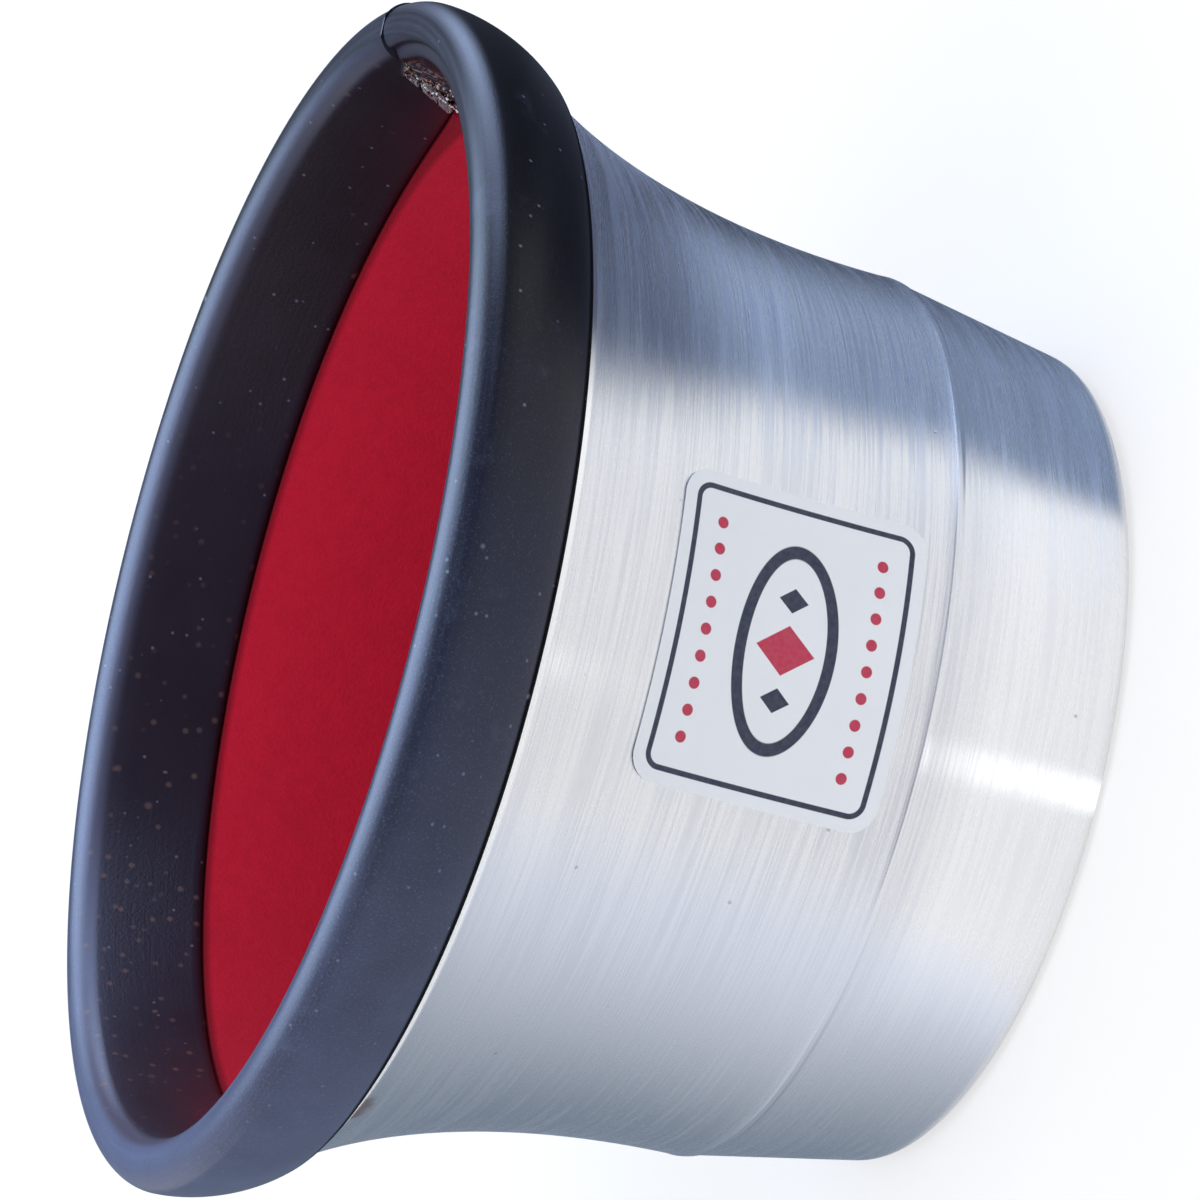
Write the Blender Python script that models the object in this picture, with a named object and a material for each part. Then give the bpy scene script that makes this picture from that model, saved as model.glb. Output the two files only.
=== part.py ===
# Plunger mute for a trumpet: a spun aluminium cup, a rubber edging over its mouth and a felt lining.
# The cup stands on its flat base with its axis on Z and its mouth up. All sizes are in metres.

import math

import bmesh
import bpy
from mathutils import Vector
from mathutils.geometry import interpolate_bezier, tessellate_polygon

# Spun cup, outside sizes
CUP_WALL = 0.0008
BASE_FLAT_RADIUS = 0.0420
BASE_CORNER_RADIUS = 0.0035
STEP_HEIGHT = 0.0214
STEP_DEPTH = 0.0003
STEP_RISE = 0.0008
NECK_RADIUS = 0.04905
FLARE_RADIUS = 0.0592
FLARE_ANGLE = math.radians(31)
FLARE_NECK_PULL = 0.0285
FLARE_MOUTH_PULL = 0.003
LIP_RADIUS = 0.0624
LIP_HEIGHT = 0.0793

# Rubber edging, a channel with a round bead along its crest
BEAD_RADIUS = 0.0030
BEAD_OVERLAP = 0.0005
SKIRT_DEPTH = 0.0108
SKIRT_THICKNESS = 0.0021
SKIRT_ROUNDING = 0.0018
SKIRT_LEAN = math.radians(40)
SKIRT_PULL = 0.0034
LEG_DEPTH = 0.0114
LEG_THICKNESS = 0.0010
LEG_ROUNDING = 0.0009
COLLAR_MARGIN = 0.0004

# Butt joint where the two ends of the edging strip meet
JOINT_AZIMUTH = math.radians(5.5)
JOINT_GAP = 0.0005
LEG_JOINT_SLANT = math.radians(12.5)
LEG_JOINT_OPENING = 0.0030
ADHESIVE_START = 0.35
ADHESIVE_END = 0.93
ADHESIVE_CROWN = 0.0004

# Felt lining
LINING_THICKNESS = 0.0008

# Label on the outside of the wall
LABEL_AZIMUTH = math.radians(-82)
LABEL_HEIGHT = 0.0399
LABEL_LENGTH = 0.0285
LABEL_WIDTH = 0.0330
LABEL_CORNER_RADIUS = 0.0030
LABEL_THICKNESS = 0.0002

# Gap between pieces that touch
SEAT_GAP = 0.0003

TURN_STEPS = 64
FLARE_STEPS = 8
CORNER_STEPS = 4
BEAD_STEPS = 12
SKIRT_STEPS = 5
LEG_STEPS = 4
TOE_STEPS = 3
LABEL_ROWS = 10
LABEL_COLUMNS = 10
ADHESIVE_ROWS = 5
FULL_TURN = 2 * math.pi
MERGE_DISTANCE = 1e-7
SHARP_EDGE = math.radians(35)

bead_center = Vector((LIP_RADIUS - CUP_WALL / 2, LIP_HEIGHT - BEAD_OVERLAP))
skirt_end = bead_center.y - SKIRT_DEPTH
leg_end = bead_center.y - LEG_DEPTH
collar_start = min(skirt_end, leg_end) - COLLAR_MARGIN


def clear_scene():
    for old in list(bpy.data.objects):
        bpy.data.objects.remove(old)


def material(name, color, roughness, metallic):
    made = bpy.data.materials.new(name)
    made.use_nodes = True
    shader = made.node_tree.nodes["Principled BSDF"]
    shader.inputs["Base Color"].default_value = (*color, 1)
    shader.inputs["Roughness"].default_value = roughness
    shader.inputs["Metallic"].default_value = metallic
    return made


def arc(center, radius, start, end, steps):
    """Points of an arc in the plane of radius and height; the angles run from the radius to the height."""
    points = []
    for step in range(steps + 1):
        angle = start + (end - start) * step / steps
        points.append(center + radius * Vector((math.cos(angle), math.sin(angle))))
    return points


def tangent_angle(center, radius, point):
    """Angle at which a line from the point touches the lower outer side of the circle."""
    reach = point - center
    return math.atan2(reach.y, reach.x) - math.acos(radius / reach.length)


def outside_outline():
    """The cup's outside, from above its lip down to the middle of its base."""
    collar_foot = Vector((FLARE_RADIUS, collar_start))
    lip = Vector((LIP_RADIUS, LIP_HEIGHT))
    neck = Vector((NECK_RADIUS, STEP_HEIGHT + STEP_RISE))
    below_step = Vector((NECK_RADIUS - STEP_DEPTH, STEP_HEIGHT))
    lean = Vector((math.sin(FLARE_ANGLE), math.cos(FLARE_ANGLE)))
    mouth_handle = collar_foot - FLARE_MOUTH_PULL * lean
    neck_handle = neck + Vector((0, FLARE_NECK_PULL))
    flare = interpolate_bezier(collar_foot, mouth_handle, neck_handle, neck, FLARE_STEPS + 1)
    corner_center = Vector((BASE_FLAT_RADIUS, BASE_CORNER_RADIUS))
    side = tangent_angle(corner_center, BASE_CORNER_RADIUS, below_step)
    corner = arc(corner_center, BASE_CORNER_RADIUS, side, -math.pi / 2, CORNER_STEPS)
    above_lip = lip + (lip - collar_foot) / 4
    return [above_lip, *[Vector(point[:2]) for point in flare], below_step, *corner, Vector((0, 0))]


def shifted_outline(depth):
    """The outside moved in by a depth, square to the surface; a negative depth moves it out."""
    points = outside_outline()
    normals = []
    for first, second in zip(points, points[1:]):
        run = (second - first).normalized()
        normals.append(Vector((run.y, -run.x)))
    moved = []
    for index, point in enumerate(points):
        before = normals[max(index - 1, 0)]
        after = normals[min(index, len(normals) - 1)]
        middle = (before + after).normalized()
        moved.append(point + middle * depth / middle.dot(before))
    moved[-1].x = 0
    return moved


def between(outline, low, high):
    """The stretch of a falling outline between two heights, cut square at both ends that it runs past."""
    kept = []
    for first, second in zip(outline, outline[1:]):
        for height in (high, low):
            if first.y > height > second.y:
                kept.append(first.lerp(second, (first.y - height) / (first.y - second.y)))
        if low < second.y < high:
            kept.append(second)
    return kept


def radius_at(outline, height):
    """Radius of a falling outline at one height."""
    for first, second in zip(outline, outline[1:]):
        if first.y >= height > second.y:
            return first.lerp(second, (first.y - height) / (first.y - second.y)).x
    return outline[-1].x


def finish(name, bm, finish_material):
    """Makes an object of the mesh, shaded smooth but for its real edges."""
    bmesh.ops.remove_doubles(bm, verts=bm.verts, dist=MERGE_DISTANCE)
    bmesh.ops.recalc_face_normals(bm, faces=bm.faces)
    mesh = bpy.data.meshes.new(name)
    bm.to_mesh(mesh)
    bm.free()
    mesh.materials.append(finish_material)
    mesh.shade_smooth()
    mesh.set_sharp_from_angle(angle=SHARP_EDGE)
    made = bpy.data.objects.new(name, mesh)
    bpy.context.scene.collection.objects.link(made)
    return made


def turned(name, profile, finish_material, closed):
    """A piece turned about Z; a profile that isn't closed starts and ends on the axis."""
    bm = bmesh.new()
    verts = [bm.verts.new((point.x, 0, point.y)) for point in profile]
    pairs = list(zip(verts, verts[1:]))
    if closed:
        pairs.append((verts[-1], verts[0]))
    edges = [bm.edges.new(pair) for pair in pairs]
    bmesh.ops.spin(
        bm,
        geom=verts + edges,
        cent=(0, 0, 0),
        axis=(0, 0, 1),
        angle=FULL_TURN,
        steps=TURN_STEPS,
        use_merge=True,
    )
    bmesh.ops.remove_doubles(bm, verts=bm.verts, dist=MERGE_DISTANCE)
    return finish(name, bm, finish_material)


def lofted(name, sections, cap, finish_material):
    """A closed body through sections of equal length; the cap lists the points of each end face."""
    bm = bmesh.new()
    rings = [[bm.verts.new(point) for point in section] for section in sections]
    for ring, following in zip(rings, rings[1:]):
        for index in range(len(ring)):
            step = (index + 1) % len(ring)
            bm.faces.new((ring[index], ring[step], following[step], following[index]))
    for ring in (rings[0], rings[-1]):
        for corners in cap:
            bm.faces.new([ring[corner] for corner in corners])
    return finish(name, bm, finish_material)


def around(radius, angle, height):
    return Vector((radius * math.cos(angle), radius * math.sin(angle), height))


def make_cup(aluminium):
    outside = between(shifted_outline(0), -math.inf, LIP_HEIGHT)
    inside = between(shifted_outline(CUP_WALL), -math.inf, LIP_HEIGHT)
    return turned("cup", inside[::-1] + outside, aluminium, closed=False)


def edging_profile():
    """The channel's section, and for each point how far down the inner leg it lies, from 0 to 1."""
    slot_top = LIP_HEIGHT + SEAT_GAP
    leg_heights = [bead_center.y - LEG_DEPTH * step / LEG_STEPS for step in range(LEG_STEPS + 1)]
    slot_outside = between(shifted_outline(-SEAT_GAP), skirt_end, slot_top)
    leg_back = shifted_outline(CUP_WALL + SEAT_GAP)
    slot_inside = [Vector((radius_at(leg_back, height), height)) for height in (slot_top, *leg_heights)]
    skirt_inset = Vector((SKIRT_THICKNESS - SKIRT_ROUNDING, SKIRT_ROUNDING))
    leg_inset = Vector((LEG_ROUNDING - LEG_THICKNESS, LEG_ROUNDING))
    skirt_toe = arc(slot_outside[-1] + skirt_inset, SKIRT_ROUNDING, -SKIRT_LEAN, -math.pi / 2, TOE_STEPS)
    leg_toe = arc(slot_inside[-1] + leg_inset, LEG_ROUNDING, -math.pi / 2, -math.pi, TOE_STEPS)
    bead = arc(bead_center, BEAD_RADIUS, math.pi, 0, BEAD_STEPS)
    upper_handle = bead[-1] - Vector((0, SKIRT_PULL))
    lower_handle = skirt_toe[0] + SKIRT_PULL * Vector((math.sin(SKIRT_LEAN), math.cos(SKIRT_LEAN)))
    fall = interpolate_bezier(bead[-1], upper_handle, lower_handle, skirt_toe[0], SKIRT_STEPS + 1)
    skirt = [Vector(point[:2]) for point in fall[1:-1]]
    leg_face = [leg_toe[-1].lerp(bead[0], step / LEG_STEPS) for step in range(1, LEG_STEPS)]
    profile = slot_inside + leg_toe + leg_face + bead + skirt + skirt_toe + slot_outside[::-1]
    leg_count = len(slot_inside) + len(leg_toe) + len(leg_face)
    slants = []
    for index, point in enumerate(profile):
        share = (bead_center.y - point.y) / LEG_DEPTH if index < leg_count else 0
        slants.append(min(max(share, 0), 1))
    return profile, slants


def joint_edges(share, radius):
    """Azimuths of the strip's first and last cut edge, a share of the way down the inner leg."""
    first = JOINT_AZIMUTH + LEG_JOINT_SLANT * share + JOINT_GAP / 2 / radius
    last = FULL_TURN + first - (JOINT_GAP + LEG_JOINT_OPENING * share) / radius
    return first, last


def make_edging(rubber):
    profile, slants = edging_profile()
    sections = []
    for step in range(TURN_STEPS + 1):
        section = []
        for point, share in zip(profile, slants):
            first, last = joint_edges(share, point.x)
            section.append(around(point.x, first + (last - first) * step / TURN_STEPS, point.y))
        sections.append(section)
    section_plane = [Vector((point.x, point.y, 0)) for point in profile]
    return lofted("rim_edging", sections, tessellate_polygon([section_plane]), rubber)


def make_joint_adhesive(adhesive):
    """Cement that fills the open wedge between the strip's ends on the inner leg."""
    back = shifted_outline(CUP_WALL + SEAT_GAP)
    front = shifted_outline(CUP_WALL + SEAT_GAP + LEG_THICKNESS / 2)
    sections = []
    for row in range(ADHESIVE_ROWS):
        share = ADHESIVE_START + (ADHESIVE_END - ADHESIVE_START) * row / (ADHESIVE_ROWS - 1)
        height = bead_center.y - LEG_DEPTH * share
        deep = radius_at(back, height)
        shallow = radius_at(front, height)
        first, last = joint_edges(share, shallow)
        low = last - FULL_TURN + SEAT_GAP / shallow
        high = first - SEAT_GAP / shallow
        middle = (low + high) / 2
        sections.append([
            around(deep, low, height),
            around(deep, high, height),
            around(shallow, high, height),
            around(shallow - ADHESIVE_CROWN, middle, height),
            around(shallow, low, height),
        ])
    return lofted("joint_adhesive", sections, [range(len(sections[0]))], adhesive)


def make_wall_lining(felt):
    bottom = CUP_WALL + SEAT_GAP + LINING_THICKNESS + SEAT_GAP
    top = leg_end - SEAT_GAP
    outside = between(shifted_outline(CUP_WALL + SEAT_GAP), bottom, top)
    inside = between(shifted_outline(CUP_WALL + SEAT_GAP + LINING_THICKNESS), bottom, top)
    return turned("wall_lining", outside + inside[::-1], felt, closed=True)


def make_base_lining(felt):
    bottom = CUP_WALL + SEAT_GAP
    top = bottom + LINING_THICKNESS
    rim = [Vector((BASE_FLAT_RADIUS, top)), Vector((BASE_FLAT_RADIUS, bottom))]
    return turned("base_lining", [Vector((0, top)), *rim, Vector((0, bottom))], felt, closed=False)


def label_half_width(offset):
    """Half the label's width at a height above or below its middle, drawn in at its round corners."""
    past = abs(offset) - (LABEL_LENGTH / 2 - LABEL_CORNER_RADIUS)
    if past <= 0:
        return LABEL_WIDTH / 2
    drawn_in = LABEL_CORNER_RADIUS - math.sqrt(max(LABEL_CORNER_RADIUS ** 2 - past ** 2, 0))
    return LABEL_WIDTH / 2 - drawn_in


def make_label(film):
    under = shifted_outline(-SEAT_GAP)
    over = shifted_outline(-SEAT_GAP - LABEL_THICKNESS)
    straight = LABEL_LENGTH / 2 - LABEL_CORNER_RADIUS
    rounding = [LABEL_CORNER_RADIUS * math.sin(math.radians(angle)) for angle in (0, 30, 60, 90)]
    offsets = [-straight - rise for rise in rounding[::-1]]
    offsets += [-straight + 2 * straight * row / LABEL_ROWS for row in range(1, LABEL_ROWS)]
    offsets += [straight + rise for rise in rounding]
    sections = []
    for offset in offsets:
        height = LABEL_HEIGHT + offset
        reach = label_half_width(offset) / radius_at(over, height)
        shares = [2 * column / LABEL_COLUMNS - 1 for column in range(LABEL_COLUMNS + 1)]
        angles = [LABEL_AZIMUTH + reach * share for share in shares]
        front = [around(radius_at(over, height), angle, height) for angle in angles]
        rear = [around(radius_at(under, height), angle, height) for angle in angles[::-1]]
        sections.append(front + rear)
    last = 2 * LABEL_COLUMNS + 1
    cap = [(column, column + 1, last - column - 1, last - column) for column in range(LABEL_COLUMNS)]
    return lofted("label", sections, cap, film)


def build():
    clear_scene()
    aluminium = material("spun_aluminium", (0.72, 0.74, 0.77), 0.32, 1)
    rubber = material("black_rubber", (0.022, 0.022, 0.030), 0.55, 0)
    felt = material("red_felt", (0.35, 0.012, 0.028), 0.95, 0)
    adhesive = material("brown_cement", (0.22, 0.10, 0.06), 0.5, 0)
    film = material("silver_film", (0.70, 0.71, 0.73), 0.45, 0)
    make_cup(aluminium)
    make_edging(rubber)
    make_joint_adhesive(adhesive)
    make_wall_lining(felt)
    make_base_lining(felt)
    make_label(film)


build()
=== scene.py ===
import math

import bpy
import numpy as np
from mathutils import Matrix, Vector, noise
from mathutils.geometry import interpolate_bezier, tessellate_polygon


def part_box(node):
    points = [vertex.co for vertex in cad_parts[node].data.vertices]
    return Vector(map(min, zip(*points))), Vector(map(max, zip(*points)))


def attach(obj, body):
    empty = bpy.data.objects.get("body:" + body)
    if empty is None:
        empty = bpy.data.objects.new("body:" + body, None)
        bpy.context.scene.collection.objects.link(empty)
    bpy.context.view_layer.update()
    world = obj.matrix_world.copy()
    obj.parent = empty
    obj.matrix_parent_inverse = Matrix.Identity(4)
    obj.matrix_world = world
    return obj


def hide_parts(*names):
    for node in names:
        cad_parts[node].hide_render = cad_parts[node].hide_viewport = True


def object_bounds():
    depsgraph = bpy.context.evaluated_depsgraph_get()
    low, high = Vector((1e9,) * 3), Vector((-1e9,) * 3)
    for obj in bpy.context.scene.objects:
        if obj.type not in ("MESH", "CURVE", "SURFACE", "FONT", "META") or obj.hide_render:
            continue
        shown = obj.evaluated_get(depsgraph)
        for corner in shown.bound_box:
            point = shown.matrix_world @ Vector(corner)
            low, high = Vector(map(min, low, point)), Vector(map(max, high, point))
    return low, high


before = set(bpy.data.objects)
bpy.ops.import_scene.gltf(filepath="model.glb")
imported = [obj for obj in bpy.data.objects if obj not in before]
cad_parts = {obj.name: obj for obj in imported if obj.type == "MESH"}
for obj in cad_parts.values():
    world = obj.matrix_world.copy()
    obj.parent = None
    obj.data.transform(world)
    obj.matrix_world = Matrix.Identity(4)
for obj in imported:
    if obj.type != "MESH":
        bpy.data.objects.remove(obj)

cadLow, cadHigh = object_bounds()
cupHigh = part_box("cup")[1]
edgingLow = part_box("rim_edging")[0]
liningLow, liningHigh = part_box("wall_lining")
discLow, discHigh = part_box("base_lining")
print("frame loaded:", ", ".join(sorted(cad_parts)))


class Wire:  # an output of a shader node that operators work on
    def __init__(self, paint, socket):
        self.paint = paint
        self.socket = socket

    def __add__(self, other):
        return self.paint.math("ADD", self, other)

    def __sub__(self, other):
        return self.paint.math("SUBTRACT", self, other)

    def __rsub__(self, other):
        return self.paint.math("SUBTRACT", other, self)

    def __mul__(self, other):
        return self.paint.math("MULTIPLY", self, other)

    def __truediv__(self, other):
        return self.paint.math("DIVIDE", self, other)

    def __rtruediv__(self, other):
        return self.paint.math("DIVIDE", other, self)

    __radd__ = __add__
    __rmul__ = __mul__


class Nodes:  # a node tree, with a method for each kind of work in it
    def __init__(self, tree, output):
        self.tree = tree
        self.output = tree.nodes[output]

    def node(self, kind, settings, inputs, output=0):
        made = self.tree.nodes.new(kind)
        for key, value in settings.items():
            setattr(made, key, value)
        for key, value in inputs.items():
            if isinstance(value, Wire):
                self.tree.links.new(value.socket, made.inputs[key])
            else:
                made.inputs[key].default_value = value
        return Wire(self, made.outputs[output])

    def math(self, operation, first, second=0.0):
        return self.node("ShaderNodeMath", {"operation": operation}, {0: first, 1: second})

    def vector(self, operation, first, second=(0, 0, 0), output=0):
        return self.node("ShaderNodeVectorMath", {"operation": operation}, {0: first, 1: second}, output)

    def length(self, vector):
        return self.vector("LENGTH", vector, output="Value")

    def most(self, first, second):
        return self.math("MAXIMUM", first, second)

    def attribute(self, name):
        return self.node("ShaderNodeAttribute", {"attribute_name": name}, {}, "Fac")

    def place(self):
        return self.node("ShaderNodeTexCoord", {}, {}, "Object")

    def outward(self):  # the place as seen from the axis, without its height
        return self.vector("MULTIPLY", self.place(), (1, 1, 0))

    def axis(self, vector, name):
        return self.node("ShaderNodeSeparateXYZ", {}, {0: vector}, name)

    def joined(self, x, y, z):
        return self.node("ShaderNodeCombineXYZ", {}, {0: x, 1: y, 2: z})

    def noise(self, vector, scale, detail=2.0, roughness=0.5):
        inputs = {"Vector": vector, "Scale": scale, "Detail": detail, "Roughness": roughness}
        return self.node("ShaderNodeTexNoise", {}, inputs)

    def cells(self, vector, scale, output="Distance"):
        return self.node("ShaderNodeTexVoronoi", {}, {"Vector": vector, "Scale": scale}, output)

    def rise(self, wire, low, high):  # 0 below the low value, 1 above the high one, smooth between
        settings = {"interpolation_type": "SMOOTHSTEP"}
        return self.node("ShaderNodeMapRange", settings, {0: wire, 1: low, 2: high, 3: 0.0, 4: 1.0})

    def spread(self, wire, low, high):  # moves a wire from 0..1 to low..high
        return wire * (high - low) + low

    def tint(self, mask, first, second):  # the first colour, or the second where the mask is 1
        return self.node("ShaderNodeMix", {"data_type": "RGBA"}, {0: mask, 6: first, 7: second}, 2)

    def turning(self, laps, lines):  # a place for lines that run round the axis
        around = self.vector("NORMALIZE", self.outward())
        along = self.joined(0.0, 0.0, self.attribute("along") * lines)
        return self.vector("ADD", self.vector("MULTIPLY", around, (laps, laps, 0)), along)

    def bump(self, height, distance, below=None):
        inputs = {"Height": height, "Distance": distance, "Strength": 1.0}
        if below:
            inputs["Normal"] = below
        return self.node("ShaderNodeBump", {}, inputs)

    def whiteToView(self):  # 1 for the rays that see the background: camera, glossy and transmission
        seen = self.node("ShaderNodeLightPath", {}, {}, "Is Camera Ray")
        for kind in ("Is Glossy Ray", "Is Transmission Ray"):
            seen = self.most(seen, self.node("ShaderNodeLightPath", {}, {}, kind))
        return seen

    def surface(self, mask, first, second):  # shows the first shader, or the second where the mask is 1
        mixed = self.node("ShaderNodeMixShader", {}, {0: mask, 1: first, 2: second})
        self.tree.links.new(mixed.socket, self.output.inputs["Surface"])


class Paint(Nodes):  # a procedural material around one Principled shader
    def __init__(self, name, constants):
        self.material = bpy.data.materials.new(name)
        self.material.use_nodes = True
        super().__init__(self.material.node_tree, "Material Output")
        self.shader = self.tree.nodes["Principled BSDF"]
        for socket, value in constants.items():
            self.shader.inputs[socket].default_value = value

    def feed(self, inputs):
        for socket, wire in inputs.items():
            self.tree.links.new(wire.socket, self.shader.inputs[socket])
        return self.material


def rgb(red, green, blue):
    return (red, green, blue, 1.0)


def clamped(value):
    return min(max(value, 0), 1)


def eased(value):  # a smooth rise from 0 to 1
    share = clamped(value)
    return share * share * (3 - 2 * share)


def roundAxis(radius, angle, height):
    return Vector((radius * math.cos(angle), radius * math.sin(angle), height))


def arcPoints(center, radius, start, end, steps):  # angles in degrees, from the radius towards the height
    points = []
    for step in range(steps + 1):
        angle = math.radians(start + (end - start) * step / steps)
        points.append(center + radius * Vector((math.cos(angle), math.sin(angle))))
    return points


def shifted(points, depth):  # an outline moved in by a depth, square to itself
    moved = []
    for index, point in enumerate(points):
        before = points[max(index - 1, 0)]
        after = points[min(index + 1, len(points) - 1)]
        run = (after - before).normalized()
        moved.append(point + Vector((run.y, -run.x)) * depth)
    return moved


def heightCut(points, low, high):  # the stretch of a falling outline between two heights
    kept = []
    for first, second in zip(points, points[1:]):
        for height in (high, low):
            if first.y > height > second.y:
                kept.append(first.lerp(second, (first.y - height) / (first.y - second.y)))
        if low < second.y < high:
            kept.append(second)
    return kept


def radiusAt(points, height):
    for first, second in zip(points, points[1:]):
        if first.y >= height > second.y:
            return first.lerp(second, (first.y - height) / (first.y - second.y)).x
    return points[-1].x


def alongProfile(points):
    lengths = [0.0]
    for first, second in zip(points, points[1:]):
        lengths.append(lengths[-1] + (second - first).length)
    return lengths


def gridFaces(rows, columns):
    faces = []
    for row in range(rows):
        for column in range(columns):
            here = row * (columns + 1) + column
            faces.append((here, here + 1, here + columns + 2, here + columns + 1))
    return faces


def ringFaces(rings, count):  # closed rings of as many points, each joined to the next
    faces = []
    for here in range(0, rings * count, count):
        for row in range(count):
            after = (row + 1) % count
            faces.append((here + row, here + after, here + count + after, here + count + row))
    return faces


def flipped(faces):
    return [face[:1] + face[:0:-1] for face in faces]


def added(name, data):
    made = bpy.data.objects.new(name, data)
    bpy.context.scene.collection.objects.link(made)
    return made


def meshObject(name, verts, faces, paint, sharp=35, marks=None):
    mesh = bpy.data.meshes.new(name)
    mesh.from_pydata([tuple(vert) for vert in verts], [], faces)
    for mark, values in (marks or {}).items():
        layer = mesh.attributes.new(mark, "FLOAT", "POINT")
        layer.data.foreach_set("value", values)
    mesh.materials.append(paint)
    mesh.shade_smooth()
    mesh.set_sharp_from_angle(angle=math.radians(sharp))
    return added(name, mesh)


def turned(name, profile, columns, paint, closed=False, ripple=None):  # a profile turned about the axis
    lengths = alongProfile(profile)
    verts = []
    along = []
    rings = []
    for point, length in zip(profile, lengths):
        if point.x < 1e-6:
            rings.append([len(verts)])
            verts.append((0, 0, point.y))
            along.append(length)
            continue
        rings.append(range(len(verts), len(verts) + columns))
        for column in range(columns):
            angle = 2 * math.pi * column / columns
            radius, height = ripple(point, angle) if ripple else (point.x, point.y)
            verts.append(roundAxis(radius, angle, height))
            along.append(length)
    pairs = list(zip(rings, rings[1:]))
    if closed:
        pairs.append((rings[-1], rings[0]))
    faces = []
    for upper, lower in pairs:
        for column in range(columns):
            after = (column + 1) % columns
            if len(upper) == 1:
                faces.append((upper[0], lower[column], lower[after]))
            elif len(lower) == 1:
                faces.append((upper[after], upper[column], lower[0]))
            else:
                faces.append((upper[after], upper[column], lower[column], lower[after]))
    return meshObject(name, verts, faces, paint, marks={"along": along})


def placed(piece, slot, *nodes):
    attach(piece, "root")
    if nodes:
        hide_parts(*nodes)


# Camera, as the photograph's fitted view gives it

camera = {
    "focal": 7138.4,  # in pixels of a picture 1200 wide
    "pictureWidth": 1200,
    "sensorWidth": 36.0,
    "distance": 0.77327,
    "elevation": 17.52,
    "roll": -76.09,
    "aimHeight": 0.035,
    "aimRight": -0.00704,
    "aimUp": 0.00948,
}


def placeCamera(values):
    elevation = math.radians(values["elevation"])
    roll = math.radians(values["roll"])
    back = Vector((0, -math.cos(elevation), math.sin(elevation)))
    level = Vector((1, 0, 0))
    upright = level.cross(-back)
    right = math.cos(roll) * level + math.sin(roll) * upright
    up = -math.sin(roll) * level + math.cos(roll) * upright
    aim = Vector((0, 0, values["aimHeight"])) + right * values["aimRight"] + up * values["aimUp"]
    data = bpy.data.cameras.new("photo_camera")
    data.lens = values["focal"] / values["pictureWidth"] * values["sensorWidth"]
    data.sensor_width = values["sensorWidth"]
    made = added("photo_camera", data)
    turn = Matrix((right, up, back)).transposed().to_4x4()
    made.matrix_world = Matrix.Translation(aim + back * values["distance"]) @ turn
    bpy.context.scene.camera = made


placeCamera(camera)
print("camera placed")


# Spun aluminium cup

cup = {
    "columns": 320,
    "wall": 0.0008,
    "flatRadius": 0.0420,
    "cornerRadius": 0.0035,
    "creaseHeight": 0.0214,
    "creaseDepth": 0.0003,
    "creaseRise": 0.0008,
    "ridge": 0.00005,
    "ridgeRise": 0.0006,
    "neckRadius": 0.04905,
    "collarRadius": 0.0592,
    "collarDrop": 0.0004,  # from the edging's lower end
    "collarAngle": 31,
    "neckPull": 0.0285,
    "collarPull": 0.0030,
    "flareSteps": 56,
    "creaseSteps": 8,
    "baseSteps": 12,
    "fineLines": (2.5, 5200),  # breaks round the axis, and lines in a metre of the outline
    "lines": (3, 2300),
    "bands": (1.2, 420),
    "metal": rgb(0.82, 0.825, 0.84),
    "metalWorn": rgb(0.75, 0.765, 0.80),
    "metalShadedStreak": rgb(0.40, 0.44, 0.54),
    "shadedStreakFrom": (0.026, 0.038),  # towards the joint's side, where the streaks are painted darker as shade
    # painted light: paler metal on the lower front, below the crease, away from the -x side
    "metalLitFoot": rgb(0.95, 0.955, 0.96),
    "litFootTop": (0.0140, 0.0214),
    "litFootFront": (0.026, 0.042),
    "litFootSide": (-0.032, -0.016),
    "pit": rgb(0.30, 0.32, 0.36),
    "pitShare": (0.972, 0.976),
    "pitSize": (0.05, 0.16),
    "smear": rgb(0.34, 0.11, 0.05),
    "smearPlace": (-0.0498, -0.0330, 0.0670),
    "smearReach": (0.0038, 0.0054),
    "smearTop": (0.0667, 0.0684),
    "metalPaintedHighlight": rgb(0.98, 0.98, 0.98),
    "paintedHighlightFrom": (0.0670, 0.0672),  # the ring just under the rubber, painted near-white as a highlight line
    "whiteHighlightSide": (-0.030, 0.0),  # away from the joint's side, where the painted highlight ring turns to plain diffuse white
    "roughness": (0.18, 0.40),
}


def cupOutside(values):
    collar = Vector((values["collarRadius"], edgingLow.z - values["collarDrop"]))
    lip = Vector((cupHigh.x, cupHigh.z))
    crease = values["creaseHeight"]
    neck = Vector((values["neckRadius"], crease + values["creaseRise"]))
    lean = math.radians(values["collarAngle"])
    collarHandle = collar - values["collarPull"] * Vector((math.sin(lean), math.cos(lean)))
    neckHandle = neck + Vector((0, values["neckPull"]))
    flare = interpolate_bezier(collar, collarHandle, neckHandle, neck, values["flareSteps"] + 1)
    points = [lip, *[Vector(point[:2]) for point in flare]]
    run = points[-1] - points[-2]
    steps = values["creaseSteps"]
    for step in range(1, steps + 1):  # the fine ridge over the step
        share = step / steps
        swelling = Vector((values["ridge"] * math.sin(math.pi * share) ** 2, 0))
        points.insert(-1, points[-1] - run.normalized() * values["ridgeRise"] * (1 - share) + swelling)
    for step in range(1, steps + 1):  # the soft step that the spinner's tool left
        share = step / steps
        radius = values["neckRadius"] - values["creaseDepth"] * eased(share)
        points.append(Vector((radius, neck.y - values["creaseRise"] * share)))
    center = Vector((values["flatRadius"], values["cornerRadius"]))
    reach = points[-1] - center
    side = math.atan2(reach.y, reach.x) - math.acos(values["cornerRadius"] / reach.length)
    steps = values["baseSteps"]
    corner = arcPoints(center, values["cornerRadius"], math.degrees(side), -90, steps)
    top = points[-1]
    points += [top.lerp(corner[0], step / steps) for step in range(1, steps)]
    points += corner
    points += [Vector((values["flatRadius"] * (1 - step / steps), 0)) for step in range(1, steps + 1)]
    return points


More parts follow.
